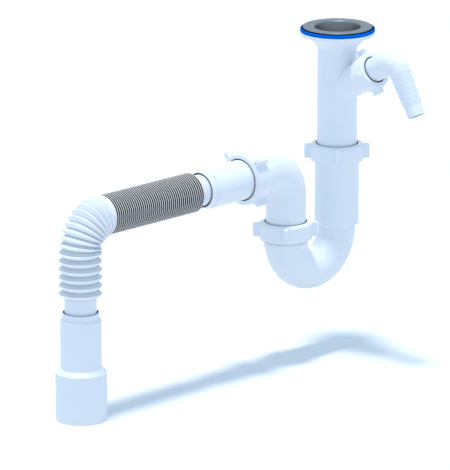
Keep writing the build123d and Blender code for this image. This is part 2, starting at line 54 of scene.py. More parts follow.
log = logging.getLogger("sink_trap")

# Open ends of the three threaded necks
INLET_END = Vector((0.0, 0.0, -118.0)) * MM
OUTLET_END = Vector((-73.0, 0.0, -185.3)) * MM
ELBOW_END = Vector((-137.3, 0.0, -131.2)) * MM

# The centre that the hose's quarter bend turns about, and the bend's radius
BEND_X = -324.6 * MM
BEND_Z = -161.4 * MM
BEND_RADIUS = 30.2 * MM


class Slot(Enum):
    """Material slots of the record."""

    WHITE = "white_plastic"
    HOSE = "hose_plastic"
    RING = "ring_plastic"
    SEAL = "seal_plastic"
    RUBBER = "seal_rubber"
    BLUE = "blue_rubber"
    STEEL = "steel"
    SCREW = "screw_steel"
    BRASS = "brass"


class Union(Enum):
    """The three unions on the standard pipe, by the name that their nodes begin with."""

    INLET = "inlet"
    OUTLET = "outlet"
    ELBOW = "elbow"


class NodeBench:
    """A node tree with short calls to add, set and join its nodes."""

    def __init__(self, tree: bpy.types.NodeTree) -> None:
        """Start from an existing tree.

        Args:
            tree: the material's or the group's node tree.
        """
        self.tree = tree

    def add(self, kind: str, **settings: Any) -> bpy.types.Node:
        """Add a node.

        Args:
            kind: the node's type name in Blender.
            settings: properties to set on it.

        Returns:
            The new node.
        """
        node = self.tree.nodes.new(kind)
        for name, value in settings.items():
            setattr(node, name, value)
        return node

    def join(self, source: bpy.types.NodeSocket, target: bpy.types.NodeSocket) -> None:
        """Link one socket to another."""
        self.tree.links.new(source, target)

    def feed(self, target: bpy.types.NodeSocket, value: Any) -> None:
        """Give an input a link or a plain value.

        Args:
            target: the input socket.
            value: another socket, or what the input's default becomes.
        """
        if isinstance(value, bpy.types.NodeSocket):
            self.join(value, target)
        else:
            target.default_value = value

    def math(self, operation: str, a: Any, b: Any = 0.0) -> bpy.types.NodeSocket:
        """Add a Math node.

        Args:
            operation: its operation, such as MULTIPLY.
            a: first value or socket.
            b: second value or socket.

        Returns:
            The node's output.
        """
        node = self.add("ShaderNodeMath", operation=operation)
        self.feed(node.inputs[0], a)
        self.feed(node.inputs[1], b)
        return node.outputs[0]

    def hypot(self, a: Any, b: Any) -> bpy.types.NodeSocket:
        """Give the length of two values that stand at a right angle."""
        squares = [self.math("MULTIPLY", value, value) for value in (a, b)]
        return self.math("SQRT", self.math("ADD", *squares))

    def split_coordinates(self, kind: str) -> tuple[bpy.types.NodeSocket, ...]:
        """Split one output of the Texture Coordinate node.

        Args:
            kind: the output's name, such as Object or Normal.

        Returns:
            The sockets of its x, y and z.
        """
        parts = self.add("ShaderNodeSeparateXYZ")
        self.join(self.add("ShaderNodeTexCoord").outputs[kind], parts.inputs[0])
        return tuple(parts.outputs)

    def ramp(
        self, value: Any, low: Any, high: Any, to_low: Any = 0.0, to_high: Any = 1.0,
    ) -> bpy.types.NodeSocket:
        """Map a value smoothly from one range to another.

        Args:
            value: the value or socket to map.
            low: where the range starts.
            high: where the range ends.
            to_low: result at low.
            to_high: result at high.

        Returns:
            The mapped value's socket.
        """
        node = self.add("ShaderNodeMapRange", interpolation_type="SMOOTHSTEP")
        for name, given in zip(("Value", "From Min", "From Max", "To Min", "To Max"),
                               (value, low, high, to_low, to_high)):
            self.feed(node.inputs[name], given)
        return node.outputs["Result"]

    def mix(self, share: Any, a: Any, b: Any) -> bpy.types.NodeSocket:
        """Mix two colours.

        Args:
            share: how much of b shows.
            a: colour or socket at 0.
            b: colour or socket at 1.

        Returns:
            The mixed colour's socket.
        """
        node = self.add("ShaderNodeMix", data_type="RGBA")
        self.feed(node.inputs[0], share)
        self.feed(node.inputs[6], a)
        self.feed(node.inputs[7], b)
        return node.outputs[2]

    def noise(self, place: Any, scale: Any, detail: float) -> bpy.types.NodeSocket:
        """Add a Noise texture.

        Args:
            place: coordinates to read it at.
            scale: its scale, per metre.
            detail: how many octaves it has.

        Returns:
            The noise value's socket.
        """
        node = self.add("ShaderNodeTexNoise")
        node.inputs["Detail"].default_value = detail
        self.join(place, node.inputs["Vector"])
        self.feed(node.inputs["Scale"], scale)
        return node.outputs["Fac"]


@dataclass
class GroupRack:
    """Shader node groups that the finishes place.

    The bands are the ranges of noise, or of the way up the bend, over which an effect comes in.
    """

    cloud_band: tuple[float, float] = (0.35, 0.75)
    cloud_detail: float = 3.0
    grain_detail: float = 2.0
    line_band: tuple[float, float] = (0.3, 0.7)
    line_detail: float = 4.0
    line_stretch: float = 0.8 * MM
    drop_band: tuple[float, float] = (0.0, 0.6)
    groups: dict[str, bpy.types.NodeTree] = field(default_factory=dict)

    def start(
        self, name: str, inputs: dict[str, Any], outputs: dict[str, str],
    ) -> tuple[NodeBench, bpy.types.Node, bpy.types.Node]:
        """Start a group with its sockets.

        Args:
            name: the group's name.
            inputs: names of the inputs, with a default each.
            outputs: names of the outputs, with a socket type each.

        Returns:
            The bench to build on, the node that holds the inputs and the one that takes the outputs.
        """
        tree = bpy.data.node_groups.new(name, "ShaderNodeTree")
        for label, default in inputs.items():
            kind = "NodeSocketColor" if isinstance(default, tuple) else "NodeSocketFloat"
            socket = tree.interface.new_socket(label, in_out="INPUT", socket_type=kind)
            socket.default_value = default
        for label, kind in outputs.items():
            tree.interface.new_socket(label, in_out="OUTPUT", socket_type=kind)
        bench = NodeBench(tree)
        self.groups[name] = tree
        return bench, bench.add("NodeGroupInput"), bench.add("NodeGroupOutput")

    def build(self) -> None:
        """Build all the groups."""
        self.build_moulded_skin()
        self.build_turned_lines()
        self.build_fold_reach()
        self.build_zone_mask()

    def build_moulded_skin(self) -> None:
        """Soft cloudiness in the colour, and the fine grain that a mould leaves."""
        bench, given, out = self.start(
            "moulded_skin",
            {"Color": (0.8, 0.8, 0.8, 1.0), "Shade": (0.7, 0.7, 0.7, 1.0), "Cloud Scale": 30.0,
             "Grain Scale": 900.0, "Roughness": 0.4, "Roughness Spread": 0.08},
            {"Color": "NodeSocketColor", "Roughness": "NodeSocketFloat", "Height": "NodeSocketFloat"},
        )
        place = bench.add("ShaderNodeTexCoord").outputs["Object"]
        cloud = bench.noise(place, given.outputs["Cloud Scale"], self.cloud_detail)
        grain = bench.noise(place, given.outputs["Grain Scale"], self.grain_detail)
        share = bench.ramp(cloud, *self.cloud_band)
        colour = bench.mix(share, given.outputs["Color"], given.outputs["Shade"])
        bench.join(colour, out.inputs["Color"])
        from_mean = bench.math("SUBTRACT", cloud, 0.5)
        spread = bench.math("MULTIPLY", from_mean, given.outputs["Roughness Spread"])
        bench.join(bench.math("ADD", given.outputs["Roughness"], spread), out.inputs["Roughness"])
        bench.join(grain, out.inputs["Height"])

    def build_turned_lines(self) -> None:
        """Fine rings about the tail pipe's axis, as a lathe or a polishing wheel leaves them."""
        bench, given, out = self.start(
            "turned_lines",
            {"Color": (0.5, 0.5, 0.5, 1.0), "Line Color": (0.3, 0.3, 0.3, 1.0), "Line Scale": 1800.0,
             "Roughness": 0.3, "Roughness Spread": 0.2},
            {"Color": "NodeSocketColor", "Roughness": "NodeSocketFloat", "Height": "NodeSocketFloat"},
        )
        x, y, z = bench.split_coordinates("Object")
        sector = bench.math("MULTIPLY", bench.math("ARCTAN2", y, x), self.line_stretch)
        polar = bench.add("ShaderNodeCombineXYZ")
        for target, value in zip(polar.inputs, (bench.hypot(x, y), sector, z)):
            bench.join(value, target)
        lines = bench.noise(polar.outputs[0], given.outputs["Line Scale"], self.line_detail)
        share = bench.ramp(lines, *self.line_band)
        colour = bench.mix(share, given.outputs["Color"], given.outputs["Line Color"])
        bench.join(colour, out.inputs["Color"])
        spread = bench.math("MULTIPLY", share, given.outputs["Roughness Spread"])
        bench.join(bench.math("ADD", given.outputs["Roughness"], spread), out.inputs["Roughness"])
        bench.join(lines, out.inputs["Height"])

    def build_fold_reach(self) -> None:
        """How far a point lies from the hose's centre line, where along it, and how it faces the flow.

        Reach and facing hold on the hose's run, its bend and its drop alike. Run is 1 on the run, and
        Drop is 1 on the drop and fades out up the bend.
        """
        bench, given, out = self.start(
            "fold_reach", {"Bend X": 0.0, "Bend Z": 0.0, "Bend Radius": 0.03},
            {"Reach": "NodeSocketFloat", "Run": "NodeSocketFloat", "Drop": "NodeSocketFloat",
             "Facing": "NodeSocketFloat"},
        )
        x, y, z = bench.split_coordinates("Object")
        normal_x, _, normal_z = bench.split_coordinates("Normal")
        past = bench.math("SUBTRACT", x, given.outputs["Bend X"])
        over = bench.math("MAXIMUM", bench.math("SUBTRACT", z, given.outputs["Bend Z"]), 0.0)
        back = bench.math("MINIMUM", past, 0.0)
        from_centre = bench.hypot(back, over)
        off = bench.math("SUBTRACT", from_centre, given.outputs["Bend Radius"])
        along = bench.math("SUBTRACT", bench.math("MULTIPLY", normal_x, over),
                           bench.math("MULTIPLY", normal_z, back))
        turned = bench.math("DIVIDE", over, given.outputs["Bend Radius"])
        bench.join(bench.hypot(off, y), out.inputs["Reach"])
        bench.join(bench.math("GREATER_THAN", past, 0.0), out.inputs["Run"])
        bench.join(bench.ramp(turned, *self.drop_band, 1.0, 0.0), out.inputs["Drop"])
        bench.join(bench.math("DIVIDE", along, from_centre), out.inputs["Facing"])

    def build_zone_mask(self) -> None:
        """Where a point lies between two radii from the tail pipe's axis and between two heights."""
        bench, given, out = self.start(
            "zone_mask", {"Low Radius": 0.0, "High Radius": 1.0, "Low Height": -1.0, "High Height": 1.0},
            {"Mask": "NodeSocketFloat"},
        )
        x, y, z = bench.split_coordinates("Object")
        radius = bench.hypot(x, y)
        tests = ((radius, "GREATER_THAN", "Low Radius"), (radius, "LESS_THAN", "High Radius"),
                 (z, "GREATER_THAN", "Low Height"), (z, "LESS_THAN", "High Height"))
        mask = 1.0
        for value, operation, limit in tests:
            mask = bench.math("MULTIPLY", mask, bench.math(operation, value, given.outputs[limit]))
        bench.join(mask, out.inputs["Mask"])


@dataclass(frozen=True)
class Zone:
    """Painted light and shade: part of a finish in its own colour, between two radii from the tail pipe's
    axis and two heights.
    """

    colour: Colour
    low_radius: float
    high_radius: float
    low_height: float
    high_height: float

    def tint(self, bench: NodeBench, rack: GroupRack, colour: Any) -> bpy.types.NodeSocket:
        """Mix the zone into a colour.

        Args:
            bench: the material's bench.
            rack: the shared node groups.
            colour: the colour's socket.

        Returns:
            The mixed colour's socket.
        """
        mask = place_group(bench, rack, "zone_mask", {
            "Low Radius": self.low_radius, "High Radius": self.high_radius,
            "Low Height": self.low_height, "High Height": self.high_height,
        })
        return bench.mix(mask.outputs["Mask"], colour, (*self.colour, 1.0))


@dataclass(frozen=True)
class MouldedFinish:
    """Moulded or blown plastic, or rubber: a cloudy colour, a fine grain and a soft sheen."""

    slot: Slot
    colour: Colour
    shade: Colour
    roughness: float
    specular: float = 0.5
    grain_height: float = 0.02 * MM
    zones: tuple[Zone, ...] = ()

    def make(self, rack: GroupRack) -> bpy.types.Material:
        """Build the material.

        Args:
            rack: the shared node groups.

        Returns:
            The new material, named as its slot.
        """
        material, bench, shader = blank_material(self.slot.value)
        skin = place_group(bench, rack, "moulded_skin", {
            "Color": (*self.colour, 1.0), "Shade": (*self.shade, 1.0), "Roughness": self.roughness,
        })
        colour = skin.outputs["Color"]
        for zone in self.zones:
            colour = zone.tint(bench, rack, colour)
        bench.join(colour, shader.inputs["Base Color"])
        bench.join(skin.outputs["Roughness"], shader.inputs["Roughness"])
        add_bump(bench, shader, skin.outputs["Height"], self.grain_height)
        shader.inputs["Specular IOR Level"].default_value = self.specular
        return material


@dataclass(frozen=True)
class FoldedFinish:
    """Blown hose plastic with painted light and shade on its folds: painted shadow between the folds and a
    painted highlight on their crests.

    The closed, open and flank bands are pairs of distances from the hose's centre line: full painted shade
    up to the first, none from the second on. The open folds take their painted flank shade, for the shadow
    of the fold above, where they face up the flow, and their painted lower shade where they face down it,
    over the facing band.
    """

    slot: Slot
    colour: Colour
    shade: Colour
    closed_crest_highlight: Colour
    closed_valley_shadow: Colour
    open_crest_highlight: Colour
    open_flank_shade: Colour
    open_shade: Colour
    open_valley_shadow: Colour
    roughness: float
    bend_x: float
    bend_z: float
    bend_radius: float
    closed_band: tuple[float, float]
    open_band: tuple[float, float]
    flank_band: tuple[float, float]
    cuff_radius: float
    facing_band: tuple[float, float] = (0.2, 0.5)
    grain_height: float = 0.02 * MM

    def make(self, rack: GroupRack) -> bpy.types.Material:
        """Build the material.

        Args:
            rack: the shared node groups.

        Returns:
            The new material, named as its slot.
        """
        material, bench, shader = blank_material(self.slot.value)
        skin = place_group(bench, rack, "moulded_skin", {
            "Color": (*self.colour, 1.0), "Shade": (*self.shade, 1.0), "Roughness": self.roughness,
        })
        folds = place_group(bench, rack, "fold_reach", {
            "Bend X": self.bend_x, "Bend Z": self.bend_z, "Bend Radius": self.bend_radius,
        })
        reach, plain = folds.outputs["Reach"], skin.outputs["Color"]
        on_folds = bench.math("GREATER_THAN", reach, self.cuff_radius)
        closed_depth = bench.math("MULTIPLY", bench.ramp(reach, *self.closed_band, 1.0, 0.0), on_folds)
        open_depth = bench.math("MULTIPLY", bench.ramp(reach, *self.open_band, 1.0, 0.0), on_folds)
        # Closed folds: a slightly warm painted highlight on the crests, and painted shadow in the valleys.
        closed = bench.mix(on_folds, plain, (*self.closed_crest_highlight, 1.0))
        closed = bench.mix(closed_depth, closed, (*self.closed_valley_shadow, 1.0))
        facing, (start, full) = folds.outputs["Facing"], self.facing_band
        below = bench.math("MULTIPLY", bench.ramp(reach, *self.flank_band, 1.0, 0.0), on_folds)
        upper = bench.math("MULTIPLY", bench.ramp(facing, start, full), below)
        lower = bench.math("MULTIPLY", bench.ramp(facing, -full, -start, 1.0, 0.0), below)
        lower = bench.math("MULTIPLY", lower, folds.outputs["Drop"])
        # Open folds: painted highlight on the crests, painted shade on the flanks (on the lower flanks only
        # down the drop), painted shadow in the valleys.
        opened = bench.mix(on_folds, plain, (*self.open_crest_highlight, 1.0))
        opened = bench.mix(upper, opened, (*self.open_flank_shade, 1.0))
        opened = bench.mix(lower, opened, (*self.open_shade, 1.0))
        opened = bench.mix(open_depth, opened, (*self.open_valley_shadow, 1.0))
        bench.join(bench.mix(folds.outputs["Run"], opened, closed), shader.inputs["Base Color"])
        bench.join(skin.outputs["Roughness"], shader.inputs["Roughness"])
        add_bump(bench, shader, skin.outputs["Height"], self.grain_height)
        return material


@dataclass(frozen=True)
class MetalFinish:
    """Turned or polished metal with fine rings in it."""

    slot: Slot
    colour: Colour
    line_colour: Colour
    roughness: float
    line_height: float = 0.01 * MM
    zones: tuple[Zone, ...] = ()

    def make(self, rack: GroupRack) -> bpy.types.Material:
        """Build the material.

        Args:
            rack: the shared node groups.

        Returns:
            The new material, named as its slot.
        """
        material, bench, shader = blank_material(self.slot.value)
        lines = place_group(bench, rack, "turned_lines", {
            "Color": (*self.colour, 1.0), "Line Color": (*self.line_colour, 1.0),
            "Roughness": self.roughness,
        })
        colour = lines.outputs["Color"]
        for zone in self.zones:
            colour = zone.tint(bench, rack, colour)
        bench.join(colour, shader.inputs["Base Color"])
        bench.join(lines.outputs["Roughness"], shader.inputs["Roughness"])
        add_bump(bench, shader, lines.outputs["Height"], self.line_height)
        shader.inputs["Metallic"].default_value = 1.0
        return material


def blank_material(name: str) -> tuple[bpy.types.Material, NodeBench, bpy.types.Node]:
    """Start a node material.

    Args:
        name: the material's name.

    Returns:
        The material, a bench on its tree and its Principled shader.
    """
    material = bpy.data.materials.new(name)
    material.use_nodes = True
    bench = NodeBench(material.node_tree)
    return material, bench, material.node_tree.nodes["Principled BSDF"]


def place_group(bench: NodeBench, rack: GroupRack, name: str, values: dict[str, Any]) -> bpy.types.Node:
    """Place a shared group in a material.

    Args:
        bench: the material's bench.
        rack: the shared node groups.
        name: which group.
        values: its inputs' own values.

    Returns:
        The group's node.
    """
    node = bench.add("ShaderNodeGroup", node_tree=rack.groups[name])
    for label, value in values.items():
        node.inputs[label].default_value = value
    return node


def add_bump(bench: NodeBench, shader: bpy.types.Node, height: Any, distance: float) -> None:
    """Give a shader a bump.

    Args:
        bench: the material's bench.
        shader: its Principled shader.
        height: the socket that the bump reads.
        distance: how high the bump stands.
    """
    bump = bench.add("ShaderNodeBump")
    bump.inputs["Distance"].default_value = distance
    bench.join(height, bump.inputs["Height"])
    bench.join(bump.outputs["Normal"], shader.inputs["Normal"])


@dataclass
class FinishRack:
    """All the finishes, built once."""

    rack: GroupRack
    materials: dict[Slot, bpy.types.Material] = field(default_factory=dict)

    def build(self, finishes: list[Any]) -> None:
        """Build a material for each finish.

        Args:
            finishes: the finish of each slot.
        """
        for finish in finishes:
            self.materials[finish.slot] = finish.make(self.rack)

    def dress_nodes(self, nodes: dict[str, Slot]) -> list[str]:
        """Give CAD nodes their finishes.

        Args:
            nodes: each node's slot.

        Returns:
            The names of the nodes.
        """
        for node, slot in nodes.items():
            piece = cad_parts[node]
            piece.data.materials.clear()
            piece.data.materials.append(self.materials[slot])
        return list(nodes)

    def dress_piece(self, piece: bpy.types.Object, body: str, slot: Slot) -> str:
        """Give a new piece its finish and its body.

        Args:
            piece: the piece.
            body: the CAD body that it rides on.
            slot: the slot that it is finished as.

        Returns:
            The piece's name.
        """
        piece.data.materials.append(self.materials[slot])
        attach(piece, body)
        return piece.name


@dataclass
class ThreadRidge:
    """Helical ridge on a threaded neck, seen when its nut is screwed off."""

    name: str
    body: str
    end: Vector
    out: Vector
    radius: float
    start_depth: float
    turns: float
    pitch: float = 3.0 * MM
    height: float = 0.25 * MM
    foot_half: float = 0.75 * MM
    crest_half: float = 0.25 * MM
    sink: float = 0.3 * MM
    steps_per_turn: int = 72
    run_in: float = 0.25

    def build(self, finishes: FinishRack, slot: Slot) -> str:
        """Build the ridge along its helix and put it on its neck.

        Args:
            finishes: the finishes to take the material from.
            slot: the slot that it is finished as.

        Returns:
            The ridge's name.
        """
        mesh = bmesh.new()
        root = self.radius - self.sink
        to_end = Matrix.Translation(self.end) @ self.out.to_track_quat("Z", "Y").to_matrix().to_4x4()
        steps = round(self.turns * self.steps_per_turn)
        rows = []
        for i in range(steps + 1):
            turn = i / self.steps_per_turn
            angle = turn * math.tau
            fade = min(1.0, turn / self.run_in, (self.turns - turn) / self.run_in)
            crest = self.radius + self.height * fade
            depth = -self.start_depth - turn * self.pitch
            section = [
                (root, self.foot_half), (self.radius, self.foot_half), (crest, self.crest_half),
                (crest, -self.crest_half), (self.radius, -self.foot_half), (root, -self.foot_half),
            ]
            rows.append([
                mesh.verts.new(to_end @ Vector((r * math.cos(angle), r * math.sin(angle), depth + d)))
                for r, d in section
            ])
        for row, following in zip(rows, rows[1:]):
            bridge_rows(mesh, row, following)
        mesh.faces.new(rows[0])
        mesh.faces.new(reversed(rows[-1]))
        return finishes.dress_piece(link_mesh(self.name, mesh), self.body, slot)


def bridge_rows(
    mesh: bmesh.types.BMesh, row: list[bmesh.types.BMVert], following: list[bmesh.types.BMVert],
) -> list[bmesh.types.BMFace]:
    """Join two closed rows of points by a band of faces.

    Args:
        mesh: the bmesh that holds them.
        row: the first row.
        following: the next row, with as many points.

    Returns:
        The new faces.
    """
    faces = []
    for k in range(len(row)):
        after = (k + 1) % len(row)
        faces.append(mesh.faces.new((row[k], row[after], following[after], following[k])))
    return faces


def link_mesh(name: str, mesh: bmesh.types.BMesh) -> bpy.types.Object:
    """Turn a finished bmesh into a linked object.

    Args:
        name: the object's name.
        mesh: the bmesh, which is freed.

    Returns:
        The new object.
    """
    bmesh.ops.recalc_face_normals(mesh, faces=mesh.faces)
    data = bpy.data.meshes.new(name)
    mesh.to_mesh(data)
    mesh.free()
    piece = bpy.data.objects.new(name, data)
    bpy.context.scene.collection.objects.link(piece)
    return piece


@dataclass
class TurnedRing:
    """Ring turned about an axis, whose section may swell towards one side."""

    centre: Vector
    axis: Vector
    towards: Vector
    radius: float
    section: list[tuple[float, float]]
    size: float
    swell: float = 0.0
    smooth: bool = False
    steps: int = 96

    def add_to(self, mesh: bmesh.types.BMesh) -> None:
        """Add the ring's faces to a bmesh.

        Args:
            mesh: the bmesh to add to.
        """
        side = self.axis.cross(self.towards)
        rows = []
        for i in range(self.steps):
            angle = math.tau * i / self.steps
            away = self.towards * math.cos(angle) + side * math.sin(angle)
            size = self.size + self.swell * math.cos(angle)
            rows.append([
                mesh.verts.new(self.centre + away * (self.radius + size * rise) + self.axis * size * run)
                for rise, run in self.section
            ])
        for row, following in zip(rows, [*rows[1:], rows[0]]):
            for face in bridge_rows(mesh, row, following):
                face.smooth = self.smooth


@dataclass(frozen=True)
class GapSize:
    """Radii of a gap, how deep in it its black ring starts and how long that ring is."""

    inner_radius: float
    outer_radius: float
    depth: float
    length: float


@dataclass
class GapShadowRing:
    """Black ring in the gap between a pipe and the opening that it goes through, as painted shade for the
    shadow down in the gap.
    """

    name: str
    body: str
    end: Vector
    out: Vector
    gap: GapSize

    def build(self, finishes: FinishRack) -> str:
        """Build the ring and put it in its opening.

        Args:
            finishes: the finishes to take the material from.

        Returns:
            The ring's name.
        """
        mesh = bmesh.new()
        width, length = self.gap.outer_radius - self.gap.inner_radius, self.gap.length
        section = [(0.0, 0.0), (width, 0.0), (width, -length), (0.0, -length)]
        TurnedRing(self.end - self.out * self.gap.depth, self.out, self.out.orthogonal().normalized(),
                   self.gap.inner_radius, section, 1.0).add_to(mesh)
        # Painted shade: the ring takes the black rubber finish only for its colour, standing in for shadow
        # in the gap.
        return finishes.dress_piece(link_mesh(self.name, mesh), self.body, Slot.RUBBER)


@dataclass
class SinkWaste:
    """Steel flange and cup, its screw and brass nut, and the blue gasket."""

    finishes: FinishRack
    nodes: dict[str, Slot] = field(default_factory=lambda: {
        "waste_grate": Slot.STEEL, "grate_screw": Slot.SCREW, "grate_insert": Slot.BRASS,
        "sink_gasket": Slot.BLUE,
    })

    def build(self) -> list[str]:
        """Dress the nodes and give back their names."""
        return self.finishes.dress_nodes(self.nodes)


@dataclass
class PipeRun:
    """The white mouldings: inlet body, trap bend, outlet elbow, sleeve and adapter with their seals."""

    finishes: FinishRack
    sleeve_mouth: Vector = field(default_factory=lambda: Vector((-192.7, 0.0, -131.2)) * MM)
    adapter_mouth: Vector = field(default_factory=lambda: Vector((-354.8, 0.0, -221.5)) * MM)
    gap: GapSize = GapSize(15.7 * MM, 17.16 * MM, 0.35 * MM, 1.3 * MM)
    nodes: dict[str, Slot] = field(default_factory=lambda: {
        "inlet_body": Slot.WHITE, "trap_bend": Slot.WHITE, "outlet_elbow": Slot.WHITE,
        "hose_sleeve": Slot.WHITE, "end_adapter": Slot.WHITE, "sleeve_seal": Slot.RUBBER,
        "adapter_seal": Slot.RUBBER,
    })

    def build(self) -> list[str]:
        """Dress the nodes and build the black rings of painted shade in both mouths.

        Returns:
            The names of the pieces.
        """
        mouths = (("sleeve", self.sleeve_mouth, BACK), ("adapter", self.adapter_mouth, UP))
        rings = [GapShadowRing(f"{body}_gap_shadow_ring", body, end, out, self.gap).build(self.finishes)
                 for body, end, out in mouths]
        return self.finishes.dress_nodes(self.nodes) + rings


@dataclass
class UnionJoint:
    """One union: its nut, slip ring and cone seal, and the thread on its neck."""

    finishes: FinishRack
    union: Union
    neck_body: str
    end: Vector
    out: Vector
    thread_radius: float = 23.2 * MM
    thread_start: float = 9.2 * MM
    thread_turns: float = 2.1
    gap: GapSize = GapSize(20.1 * MM, 21.28 * MM, 0.06 * MM, 2.4 * MM)

    def build(self) -> list[str]:
        """Dress the union's nodes and build its thread and the black ring of painted shade in its nut.

        Returns:
            The names of the pieces.
        """
        name = self.union.value
        nodes = self.finishes.dress_nodes({
            f"{name}_nut": Slot.WHITE, f"{name}_slip_ring": Slot.RING, f"{name}_cone_seal": Slot.SEAL,
        })
        thread = ThreadRidge(f"{name}_thread", self.neck_body, self.end, self.out, self.thread_radius,
                             self.thread_start, self.thread_turns).build(self.finishes, Slot.WHITE)
        ring = GapShadowRing(f"{name}_gap_shadow_ring", f"{name}_nut", self.end, self.out, self.gap).build(self.finishes)
        return [*nodes, thread, ring]


@dataclass
class ApplianceBranch:
    """Branch gasket, barbed nozzle and the small nut."""

    finishes: FinishRack
    foot: Vector = field(default_factory=lambda: Vector((0.0, 0.0, -64.0)) * MM)
    tilt: float = math.radians(30.0)
    nut_face: float = 59.7 * MM
    gap: GapSize = GapSize(12.4 * MM, 13.78 * MM, 0.06 * MM, 1.4 * MM)
    nodes: dict[str, Slot] = field(default_factory=lambda: {
        "branch_gasket": Slot.RUBBER, "hose_nozzle": Slot.WHITE, "branch_nut": Slot.WHITE,
    })

    def build(self) -> list[str]:
        """Dress the nodes and build the black ring of painted shade in the nut.

        Returns:
            The names of the pieces.
        """
        out = Vector((0.0, -math.cos(self.tilt), math.sin(self.tilt)))
        end = self.foot + out * self.nut_face
        ring = GapShadowRing("branch_gap_shadow_ring", "branch_nut", end, out, self.gap).build(self.finishes)
        return [*self.finishes.dress_nodes(self.nodes), ring]


@dataclass
class FoldedHose:
    """The flexible hose in its folded finish, with rounded beads on the crests of its open folds."""

    finishes: FinishRack
    bend_x: float = BEND_X
    bend_z: float = BEND_Z
    bend_radius: float = BEND_RADIUS
    crest_radius: float = 20.9 * MM
    half_crest: float = 0.6 * MM
    bend_folds: int = 10
    first_drop: float = -162.6 * MM
    drop_pitch: float = 8.1 * MM
    drop_folds: int = 6
    bulge: float = 0.42
    root: float = -0.6
    root_half: float = 0.8
    arc_steps: int = 6

    def build(self) -> list[str]:
        """Dress the hose and build its beads.

        Returns:
            The names of the pieces.
        """
        mesh = bmesh.new()
        for ring in self.rings():
            ring.add_to(mesh)
        beads = self.finishes.dress_piece(link_mesh("crest_beads", mesh), "hose", Slot.HOSE)
        return [*self.finishes.dress_nodes({"flexible_hose": Slot.HOSE}), beads]

    def section(self) -> list[tuple[float, float]]:
        """Work out the bead's section, a low arch on a sunk root.

        Returns:
            Its points, each a rise and a run in units of half the crest's width.
        """
        runs = [-1.0 + 2.0 * k / self.arc_steps for k in range(self.arc_steps + 1)]
        arch = [(self.bulge * (1.0 - run * run), run) for run in runs]
        return [*arch, (self.root, self.root_half), (self.root, -self.root_half)]

    def rings(self) -> list[TurnedRing]:
        """Lay out the beads.

        Returns:
            The beads, first those of the bend, then those of the drop.
        """
        section = self.section()
        fold_turn = math.pi / 2 / self.bend_folds
        turn_half = fold_turn * self.half_crest / (self.drop_pitch - 2.0 * self.half_crest)
        rings = []
        for i in range(1, self.bend_folds):
            turn = i * fold_turn
            towards = Vector((-math.sin(turn), 0.0, math.cos(turn)))
            axis = Vector((-math.cos(turn), 0.0, -math.sin(turn)))
            centre = Vector((self.bend_x, 0.0, self.bend_z)) + towards * self.bend_radius
            rings.append(TurnedRing(centre, axis, towards, self.crest_radius, section,
                                    self.bend_radius * turn_half, self.crest_radius * turn_half, True))
        for k in range(self.drop_folds):
            centre = Vector((self.bend_x - self.bend_radius, 0.0, self.first_drop - k * self.drop_pitch))
            rings.append(TurnedRing(centre, -UP, BACK, self.crest_radius, section, self.half_crest,
                                    smooth=True))
        return rings


